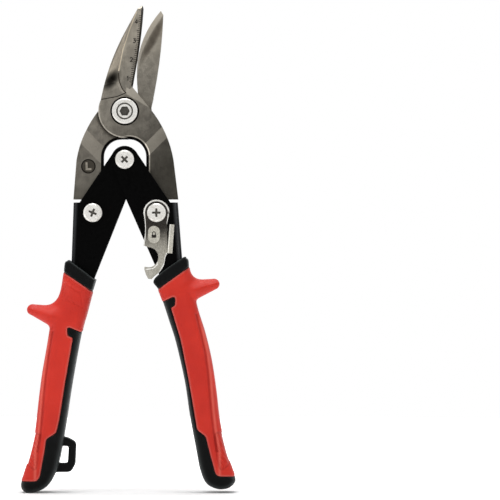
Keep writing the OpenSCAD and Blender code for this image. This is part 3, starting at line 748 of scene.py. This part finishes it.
# Outlines of the grips, then the corners (x, z, radius) of the soft cover's edge where it meets the core,
# the guard's root and tip (x, z, radius), the line of the long groove and the corners of the ribbed pad.
GRIPS = {
    "left": {
        "outline": [
            (-29.8, -78.1), (-31.1, -79.2), (-31.8, -85), (-33.5, -94), (-36.4, -101.5), (-38.2, -108),
            (-39, -114), (-40.7, -124.4), (-42.8, -136.5), (-44.5, -149.5), (-46.5, -166.8),
            (-48.7, -177.2), (-52.3, -188.5), (-54.1, -195.2), (-51.4, -198.8), (-46, -198.4),
            (-40.6, -195.6), (-36.9, -190), (-34.3, -182.4), (-31.4, -166.8), (-27.4, -140.8),
            (-22.8, -115.7), (-20, -105.3), (-17, -93.8), (-15.4, -88.2), (-16, -87.5), (-28, -78.4)],
        "seam": [
            (-70, -57, 0.5), (-31.9, -83.6, 0.5), (-17, -93.8, 0.5), (-10, -98.6, 0.5), (-10, -121, 0.5),
            (-22, -115.6, 0.5), (-29.9, -112.2, 1.4), (-29.5, -116.8, 1.4), (-26.7, -118.2, 1.0),
            (-30.7, -140.8, 20), (-33.8, -160.7, 4), (-35.5, -167.6, 3), (-40.6, -170.8, 2.4),
            (-41.5, -177.2, 9), (-43.9, -190.2, 3), (-45.4, -192.8, 2.5), (-52.4, -192.9, 3),
            (-70, -193, 0.5)],
        "guard": ((-38, -106.6, 5), (-48.3, -103.5, 2.6)),
        "groove": [
            (-37.4, -115), (-39.2, -126), (-40.8, -138), (-42, -150), (-42.8, -160), (-43.4, -167),
            (-45.2, -177)],
        "pad": [(-43.4, -168, 1.5), (-47, -168, 1), (-50.6, -184, 2), (-45.9, -187.6, 2), (-44.8, -180, 2)]},
    "right": {
        "outline": [
            (15.6, -87.2), (17.4, -92.8), (20, -99.6), (23, -108.8), (26.8, -120.9), (31.3, -140.8),
            (33.9, -158.1), (37.1, -175.5), (39.5, -187.4), (42.8, -194.2), (48.6, -197), (54, -196.4),
            (57.4, -193.4), (57.1, -190), (53, -178.1), (49.5, -162.5), (47.4, -145.2), (45, -129.6),
            (41.7, -115.7), (38.2, -104.6), (36.4, -97), (34.8, -88.6), (33.4, -81.5), (33, -77.8),
            (32, -76.7), (29.8, -76.6)],
        "seam": [
            (60, -62.4, 0.5), (33.2, -81.4, 0.5), (17.9, -92.4, 0.5), (8, -99.5, 0.5), (8, -105.5, 0.5),
            (20, -99.4, 0.5), (26.4, -96.2, 1.4), (26.2, -101.2, 1.4), (24, -102.4, 1.0),
            (29.1, -119.2, 20), (33.4, -140.8, 20), (37.7, -166, 3), (42.1, -169.4, 2.4),
            (44.7, -179.8, 9), (47.6, -190.2, 3), (56.8, -190.4, 4), (70, -190.4, 0.5)],
        "guard": ((36.4, -93, 4.9), (46.5, -90.2, 2.6)),
        "groove": [
            (37.2, -106), (39.8, -116), (42, -126), (43.4, -136), (44.4, -148), (45.2, -157),
            (46.2, -166), (48.2, -177)],
        "pad": [(46.8, -167.6, 1.5), (50, -167.4, 1), (54.4, -184, 2), (50.2, -187.6, 2), (48.2, -180, 2)]}}

# The lanyard loop on the left core: corners (x, z, radius) of its outer and inner edge
LOOP_OUTER = [
    (-38, -168.4, 0.5), (-29.6, -170.3, 2), (-25.4, -172.6, 3), (-25.9, -184, 4), (-28.2, -188.3, 3),
    (-40, -188.5, 0.5)]
LOOP_INNER = [(-40, -174, 0.5), (-29.4, -174.9, 1), (-29.9, -183.5, 1), (-40, -183.6, 0.5)]
# Corners of the sunk label panel on the left cover
LABEL_PANEL = [(-31.3, -89.6, 0.4), (-22.6, -94.6, 0.6), (-21.7, -102.4, 1.0), (-32.2, -96.8, 0.4)]


def tapered_bar(x, z, root, tip):
    """Distance to a bar with round ends of different radii, how far along it each point is, and how
    far above its middle line."""
    (ax, az, ar), (bx, bz, br) = root, tip
    dx, dz = bx - ax, bz - az
    t = ((x - ax) * dx + (z - az) * dz) / (dx * dx + dz * dz)
    held = np.clip(t, 0, 1)
    above = abs(dx) * (z - az - t * dz) / math.hypot(dx, dz)
    return np.hypot(x - ax - held * dx, z - az - held * dz) - (ar + (br - ar) * held), t, above


def above_cover(x, z, seam):
    """How far above the cover's top edge each point lies, on the collar."""
    start, end = sorted(corner[:2] for corner in seam[1:3])
    along = np.subtract(end, start) / math.dist(start, end)
    return (z - start[1]) * along[0] - (x - start[0]) * along[1]


def grip_fields(side, shape):
    """Fields of a grip's cover and core on one grid, and the grid's first point."""
    guard, seam = shape["guard"], shape["seam"]
    loop = smooth_loop(shape["outline"])
    low = np.minimum(loop.min(0), [min(g[0] - g[2] for g in guard), 0]) - 3
    high = np.maximum(loop.max(0), [max(g[0] + g[2] for g in guard), -200]) + 3
    x = np.arange(low[0], high[0], VOXEL)[:, None]
    z = np.arange(low[1], high[1], VOXEL)[None, :]
    depth = np.arange(-GRIP_HALF - 2, GRIP_HALF + 2, VOXEL)
    body = distance_to_loop(x, z, loop)
    fin, share, above = tapered_bar(x, z, *guard)
    # The guard blends into the body, more widely above its middle line
    whole = smooth_least(body, fin, 2.0 + 4.0 * ramp(above, -2, 2))
    # The grip gets thinner along the guard, and thinner still in the slope above the guard's middle line
    out = ramp(share, -0.1, 1.1) * ramp(body, -4, 4)
    high_up = above_cover(x, z, seam)
    ridge = np.clip(above, 0, 5) * ramp(share, -1.6, 0.4) * ramp(body, -13, -2) * ramp(-high_up, 2, 9)
    half = GRIP_HALF - GUARD_THINNING * out - 0.6 * ridge
    # Its edges get tighter along the guard and on the collar
    collar = ramp(high_up, -0.1, 0.5)
    radius = GRIP_EDGE - 1.6 * out - (GRIP_EDGE - COLLAR_EDGE) * collar
    cover_side = distance_to_loop(x, z, rounded_loop(seam))
    cut = near(distance_to_line(x, z, np.array(shape["groove"])), *GROOVE_CUT)
    pad_side = distance_to_loop(x, z, rounded_loop(shape["pad"]))
    cut += RIB_DEPTH * np.sin((x * 0.8 + z * 0.6) * math.tau / RIB_PITCH) * ramp(-pad_side, 0.2, 1.2)
    cut += near(pad_side, *PAD_CUT)
    loop_side = np.full(body.shape, 1e3)
    if side == "left":
        panel = distance_to_loop(x, z, rounded_loop(LABEL_PANEL))
        cut += near(panel, *PANEL_CUT) + PANEL_DEPTH * ramp(-panel, 0, 0.6)
        outer, inner = (distance_to_loop(x, z, rounded_loop(edge)) for edge in (LOOP_OUTER, LOOP_INNER))
        loop_side = np.maximum(outer, -inner)
    skin, core = [], []
    for y in depth:
        mass = rounded_slab(whole, abs(y), half, radius)
        seam_side = cover_side + (TONGUE if abs(y) < TONGUE_HALF else 0)
        skin.append(smooth_most(mass - COVER_PROUD + cut, seam_side + HALF_GAP, 0.7))
        hard = smooth_most(mass, HALF_GAP - seam_side, 0.5)
        ring = rounded_slab(loop_side, abs(y), LOOP_HALF, LOOP_EDGE)
        core.append(smooth_least(hard, ring, 0.8))
    return np.stack(skin, 1), np.stack(core, 1), (low[0], depth[0], low[1])


def make_grip(side, shape):
    """The soft cover and the hard core of one grip, in place of their CAD solids."""
    cover, core, origin = grip_fields(side, shape)
    seam, line = rounded_loop(shape["seam"]), np.array(shape["groove"])
    pad = rounded_loop(shape["pad"])
    sign = -1 if side == "left" else 1

    def outer(x, z):
        """Where the painted highlight beside the groove lies: 1 just outside the long groove, fading in below
        the groove's top end.
        """
        outside = sign * (x - np.interp(-z, -line[:, 1], line[:, 0]))
        return near(outside - 1.3, 0.7) * ramp(-z, -line[0, 1] - 4, -line[0, 1] + 8)

    # Shares kept on the mesh for the rubber's painted highlights and painted shade
    stored = {
        "edge": lambda x, z: near(distance_to_loop(x, z, seam) + 0.45, 0.4),
        "groove": lambda x, z: near(distance_to_line(x, z, line), 0.5),
        "pad": lambda x, z: near(distance_to_loop(x, z, pad), 0.5),
        "outer": outer}
    for part, field, material in (("cover", cover, rubber), ("core", core, plastic)):
        piece = field_mesh(f"{side}_{part}_moulded", field, origin, **stored)
        piece.data.materials.append(material)
        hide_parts(f"{side}_grip_{part}")
        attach(piece, f"{side}_handle")


rubber, plastic = grip_rubber(), grip_plastic()
for grip_side, grip_shape in GRIPS.items():
    make_grip(grip_side, grip_shape)

# ---------- return spring ----------

# Radii of the wire and of the coil's middle line, and half the coil's length along Y
WIRE_R = 0.9
COIL_R = 4.75
COIL_HALF = 1.9
# The legs' length and, in degrees, the left leg's turn and the coil's turn from one leg to the other
LEG_LENGTH = 25.4
LEG_TURN = -30.9
COIL_TURN = 540 - 2 * LEG_TURN
# Steps of the wire's middle line along each leg and round the coil
LEG_STEPS = 12
COIL_STEPS = 90


def spring_path():
    """The wire's middle line: left leg in front, the coil round the sleeve, right leg behind."""
    centre = CENTRE_PIN - PIVOT
    centre = Vector((centre.x, 0, centre.z)) / MM

    def coil(turn, depth):
        angle = math.radians(turn)
        return centre + Vector((COIL_R * math.cos(angle), depth, COIL_R * math.sin(angle)))

    def leg(turn):
        angle = math.radians(turn)
        return Vector((math.sin(angle), 0, -math.cos(angle))) * LEG_LENGTH

    left, right = LEG_TURN, LEG_TURN + COIL_TURN
    path = [coil(left, -COIL_HALF) + leg(left) * i / LEG_STEPS for i in range(LEG_STEPS, 0, -1)]
    for i in range(COIL_STEPS + 1):
        path.append(coil(left + COIL_TURN * i / COIL_STEPS, COIL_HALF * (2 * i / COIL_STEPS - 1)))
    path += [coil(right, COIL_HALF) - leg(right) * i / LEG_STEPS for i in range(1, LEG_STEPS + 1)]
    return path


def finished(name, made):
    """A scene object from a bmesh, smoothly shaded."""
    mesh = bpy.data.meshes.new(name)
    made.to_mesh(mesh)
    made.free()
    shade(mesh, True)
    return scene_object(name, mesh)


def skin_rings(made, rings):
    """Joins rings of vertices into a tube and closes both of its ends."""
    for one, two in zip(rings[:-1], rings[1:]):
        for k in range(len(one)):
            after = (k + 1) % len(one)
            made.faces.new((one[k], one[after], two[after], two[k]))
    made.faces.new(rings[0][::-1])
    made.faces.new(rings[-1])


def wire_mesh(name, path, radius, sides=14):
    """A round wire along a path whose loops lie across Y, with rounded ends."""
    made = bmesh.new()
    rings = []
    last = len(path) - 1
    # Each ring's point on the path, its place ahead of that point and its size, both in wire radii
    stations = [(0, -0.9, 0.35), (0, -0.5, 0.8)]
    stations += [(i, 0, 1) for i in range(last + 1)]
    stations += [(last, 0.5, 0.8), (last, 0.9, 0.35)]
    for i, ahead, size in stations:
        along = (path[min(i + 1, last)] - path[max(i - 1, 0)]).normalized()
        across = along.cross(Vector((0, 1, 0))).normalized()
        side = across.cross(along)
        middle = path[i] + along * ahead * radius
        ring = []
        for k in range(sides):
            turn = math.tau * k / sides
            spoke = across * math.cos(turn) + side * math.sin(turn)
            ring.append(made.verts.new(place(*(middle + spoke * radius * size))))
        rings.append(ring)
    skin_rings(made, rings)
    bmesh.ops.recalc_face_normals(made, faces=made.faces)
    return finished(name, made)


spring_steel = wire_steel()
spring = wire_mesh("spring_wire", spring_path(), WIRE_R)
spring.data.materials.append(spring_steel)
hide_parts("return_spring")
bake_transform(spring)

# ---------- engraved marks ----------

# Depth of the front blade's face, and how far the marks stand out from it
BLADE_FACE = -4.2
MARK_T = 0.05
# The cutting edge of the front blade: heel, tip and how far it bows out between them
EDGE_HEEL, EDGE_TIP, EDGE_BOW = (3.8, 12.8), (9.7, 53.5), 0.8
# How high above the main pivot the rule's first centimetre mark is, and the height of its numbers
FIRST_CENTIMETRE = 17.1
DIGIT_HEIGHT = 2.2
# The numbers' strokes, as (x, z) points in a box of height 1
DIGITS = {
    1: [(0.1, 0.78), (0.32, 1), (0.32, 0)],
    2: [(0.03, 0.78), (0.15, 0.97), (0.45, 0.97), (0.57, 0.78), (0.5, 0.55), (0.03, 0.03), (0.6, 0.03)],
    3: [
        (0.05, 0.97), (0.55, 0.97), (0.28, 0.6), (0.5, 0.52), (0.58, 0.28), (0.45, 0.05), (0.2, 0),
        (0.03, 0.15)],
    4: [(0.42, 0), (0.42, 1), (0.02, 0.3), (0.62, 0.3)]}


def ribbon(made, points, width, face):
    """Adds a thin flat bar along a line of (x, z) points, MARK_T to either side of the depth face."""
    line = [Vector(p) for p in points]
    rings = []
    for i, here in enumerate(line):
        before = (here - line[max(i - 1, 0)]).normalized()
        after = (line[min(i + 1, len(line) - 1)] - here).normalized()
        along = (before + after).normalized()
        side = Vector((-along.y, along.x)) * width / 2
        reach = 1 / max(0.5, along.dot(after if after.length else before))
        left, right = here + side * reach, here - side * reach
        corners = ((left, -MARK_T), (right, -MARK_T), (right, MARK_T), (left, MARK_T))
        rings.append([made.verts.new(place(edge.x, face + y, edge.y)) for edge, y in corners])
    skin_rings(made, rings)


def ruler_marks():
    """Millimetre ticks along the cutting edge, with a number at each centimetre."""
    made = bmesh.new()
    heel, tip = Vector(EDGE_HEEL), Vector(EDGE_TIP)
    along = (tip - heel).normalized()
    inward = Vector((-along.y, along.x))
    length = (tip - heel).length
    first = (FIRST_CENTIMETRE - heel.y) / along.y - 10
    for step in range(1, 46):
        reach = first + step
        if not 1.5 < reach < length - 3:
            continue
        share = reach / length
        start = heel + along * reach - inward * (4 * EDGE_BOW * share * (1 - share) - 0.5)
        tick, width = 1.5, 0.3
        if step % 5 == 0:
            tick, width = 1.9, 0.36
        if step % 10 == 0:
            tick = 2.1
        ribbon(made, [start, start + inward * tick], width, BLADE_FACE)
        if step % 10 == 0:
            corner = start + inward * 3.1 - along * 1.6
            glyph = [corner + Vector((x, z)) * DIGIT_HEIGHT for x, z in DIGITS[step // 10]]
            ribbon(made, glyph, 0.45, BLADE_FACE)
    return finished("ruler_marks", made)


def lock_mark(face):
    """A small padlock on the latch's oval boss."""
    made = bmesh.new()
    middle = (RIGHT_PIN - PIVOT) / MM + Vector((-1.3, 0, -11.6))
    shackle = [(-0.75, 0.1), (-0.75, 1.1), (-0.4, 1.6), (0.4, 1.6), (0.75, 1.1), (0.75, 0.1)]
    ribbon(made, [(middle.x + x, middle.z + z) for x, z in shackle], 0.4, face)
    ribbon(made, [(middle.x - 1.2, middle.z - 0.7), (middle.x + 1.2, middle.z - 0.7)], 1.5, face)
    return finished("lock_mark", made)


# The latch plate's thickness and the boss's height above it, then the depths of their fronts
LATCH_T = 1.8
BOSS_LIFT = 0.6
latch_face = (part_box("latch_washer")[0].y - PIVOT.y) / MM - LATCH_T
latch_boss = latch_face - BOSS_LIFT
mark_black = engraving()
for piece, body, slot in (
        (ruler_marks(), "front_jaw", "jaw_steel"),
        (lock_mark(latch_boss), "latch", "nickel")):
    piece.data.materials.append(mark_black)
    shade(piece.data, False)
    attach(piece, body)

# ---------- CAD nodes' looks ----------

dress("front_jaw", front_steel(), 0.35)
dress("back_jaw", back_steel(), 0.35)
paint = arm_paint()
dress("right_arm", paint, 0.3)
dress("left_arm", paint, 0.3)
# Each pin's place, the radius of the recess in its head and the nodes on it, the head first
for pin, recess_r, names in (
        (PIVOT, 4.5, ("pivot_bolt", "pivot_washer", "pivot_nut")),
        (CENTRE_PIN, 2.9, ("centre_screw", "centre_sleeve", "centre_nut")),
        (LEFT_PIN, 2.9, ("left_pin_screw", "left_pin_collar", "left_pin_nut")),
        (RIGHT_PIN, 2.9, ("right_pin_screw", "right_pin_spacers", "right_pin_nut", "latch_washer"))):
    head_front = (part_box(names[0])[0].y - PIVOT.y) / MM
    bright = plated(f"zinc_{names[0]}", pin, head_front, recess_r)
    for name in names:
        dress(name, bright, 0.0 if name == "latch_washer" else 0.15)
dress("latch", latch_nickel(latch_face, latch_boss), 0.4, 3)
dress("return_spring", spring_steel, 0.0)

# ---------- camera, light and floor ----------

# The picture's width at the object, the camera's distance and the point it looks at
FRAME_WIDTH = 0.2613
CAMERA_AWAY = 2.0
TARGET = place(65.27, 0, -72.38)

# The room's brightness for soft light and for reflections
ROOM_DIFFUSE = 0.44
ROOM_GLOSS = 0.85
# What the reflected room adds, or takes off where it is negative, towards one end of an axis: the axis,
# the direction's share along it where that starts and where it is full, and how much
SOFT_BOXES = (
    ("Z", 0.3, 0.75, 0.15),
    ("Y", -0.82, -0.96, -0.5),
    ("Y", 0.82, 0.96, -0.5),
    ("X", -0.3, -0.7, -0.1),
    ("X", 0.6, 0.85, 0.15))

# Area lights: name, place, size and power in watts. All of them point at LIGHT_AIM.
LIGHTS = (
    ("top", (0, 0, 1.5), (0.8, 0.8), 16),
    ("front", (-0.3, -1.4, 1.1), (1.2, 1.2), 3.5),
    ("back", (0.3, 1.4, 1.1), (1.2, 1.2), 3.5),
    ("left", (-1.3, -0.8, 0.5), (0.5, 1.2), 3))
LIGHT_AIM = Vector((0, 0, 0.13))

FLOOR_RADIUS = 0.9
FLOOR_SIDES = 64


def add_camera():
    """A level view straight from the front, with the snips in the left half of the picture."""
    data = bpy.data.cameras.new("camera")
    data.sensor_width = 36
    data.lens = data.sensor_width * CAMERA_AWAY / FRAME_WIDTH
    data.clip_start, data.clip_end = 0.05, 50
    camera = scene_object("camera", data)
    camera.location = TARGET - Vector((0, CAMERA_AWAY, 0))
    camera.rotation_euler = (math.radians(90), 0, 0)
    bpy.context.scene.camera = camera


def add_light(name, at, size, power):
    """A rectangular light that points at LIGHT_AIM."""
    data = bpy.data.lights.new(name, "AREA")
    data.shape = "RECTANGLE"
    data.size, data.size_y = size
    data.energy = power
    light = scene_object(name, data)
    light.location = at
    light.rotation_euler = (LIGHT_AIM - Vector(at)).to_track_quat("-Z", "Y").to_euler()


def add_world():
    """White for the camera, an even grey for soft light, and a studio with soft boxes for reflections."""
    world = bpy.data.worlds.new("studio")
    bpy.context.scene.world = world
    world.use_nodes = True
    tree = world.node_tree
    coordinate = tree.nodes.new("ShaderNodeTexCoord")
    split = tree.nodes.new("ShaderNodeSeparateXYZ")
    tree.links.new(coordinate.outputs["Generated"], split.inputs[0])
    room = tree.nodes.new("ShaderNodeValue").outputs[0]
    room.default_value = ROOM_GLOSS
    for axis, low, high, gain in SOFT_BOXES:
        box = tree.nodes.new("ShaderNodeMapRange")
        box.interpolation_type = "SMOOTHSTEP"
        for socket, value in zip(box.inputs[1:5], (low, high, 0, gain)):
            socket.default_value = value
        tree.links.new(split.outputs[axis], box.inputs["Value"])
        total = tree.nodes.new("ShaderNodeMath")
        tree.links.new(box.outputs["Result"], total.inputs[0])
        tree.links.new(room, total.inputs[1])
        room = total.outputs[0]
    path = tree.nodes.new("ShaderNodeLightPath")
    lit = tree.nodes.new("ShaderNodeMix")
    tree.links.new(path.outputs["Is Glossy Ray"], lit.inputs["Factor"])
    lit.inputs["A"].default_value = ROOM_DIFFUSE
    tree.links.new(room, lit.inputs["B"])
    seen = tree.nodes.new("ShaderNodeMix")
    tree.links.new(path.outputs["Is Camera Ray"], seen.inputs["Factor"])
    tree.links.new(lit.outputs["Result"], seen.inputs["A"])
    seen.inputs["B"].default_value = 1
    background = tree.nodes["Background"]
    background.inputs["Color"].default_value = (1, 1, 1, 1)
    tree.links.new(seen.outputs["Result"], background.inputs["Strength"])


def add_floor():
    """A round sheet of white paper under the grips."""
    mesh = bpy.data.meshes.new("floor")
    turns = [math.tau * i / FLOOR_SIDES for i in range(FLOOR_SIDES)]
    ring = [(FLOOR_RADIUS * math.cos(turn), FLOOR_RADIUS * math.sin(turn), 0) for turn in turns]
    mesh.from_pydata(ring, [], [list(range(FLOOR_SIDES))])
    mesh.materials.append(floor_paper())
    scene_object("floor", mesh)


add_camera()
add_world()
add_floor()
for light in LIGHTS:
    add_light(*light)
bpy.context.scene.view_settings.view_transform = "Standard"
